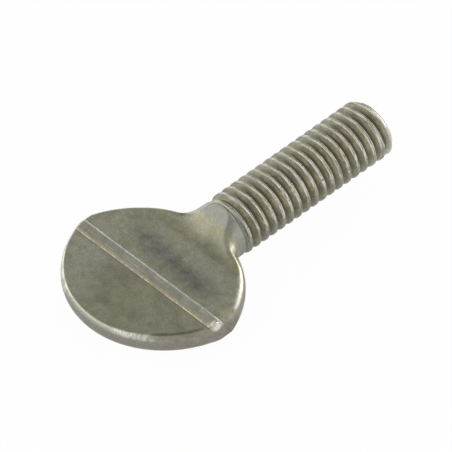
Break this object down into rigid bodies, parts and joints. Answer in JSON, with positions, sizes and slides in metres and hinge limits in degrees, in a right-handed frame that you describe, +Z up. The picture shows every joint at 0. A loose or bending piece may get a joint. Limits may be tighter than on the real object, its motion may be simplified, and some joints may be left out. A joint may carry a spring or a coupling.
{
  "type": "thumb screw",
  "caption": "Spade-head thumb screw: flat round paddle with a raised parting band, ramped round neck and full right-hand metric thread, turned by finger and thumb.",
  "frame": {"origin": "middle of the lying screw's outline seen from above, on the surface it rests on", "axes": "+X runs from the paddle to the thread's end, +Z is up, and +Y completes the right-handed frame across the paddle"},
  "size_m": [0.0346, 0.0194, 0.0079],
  "materials": {
    "steel": "satin, cold-formed stainless steel with light handling marks"
  },
  "bodies": {
    "root": {"thumb_screw": "steel"}
  },
  "joints": []
}
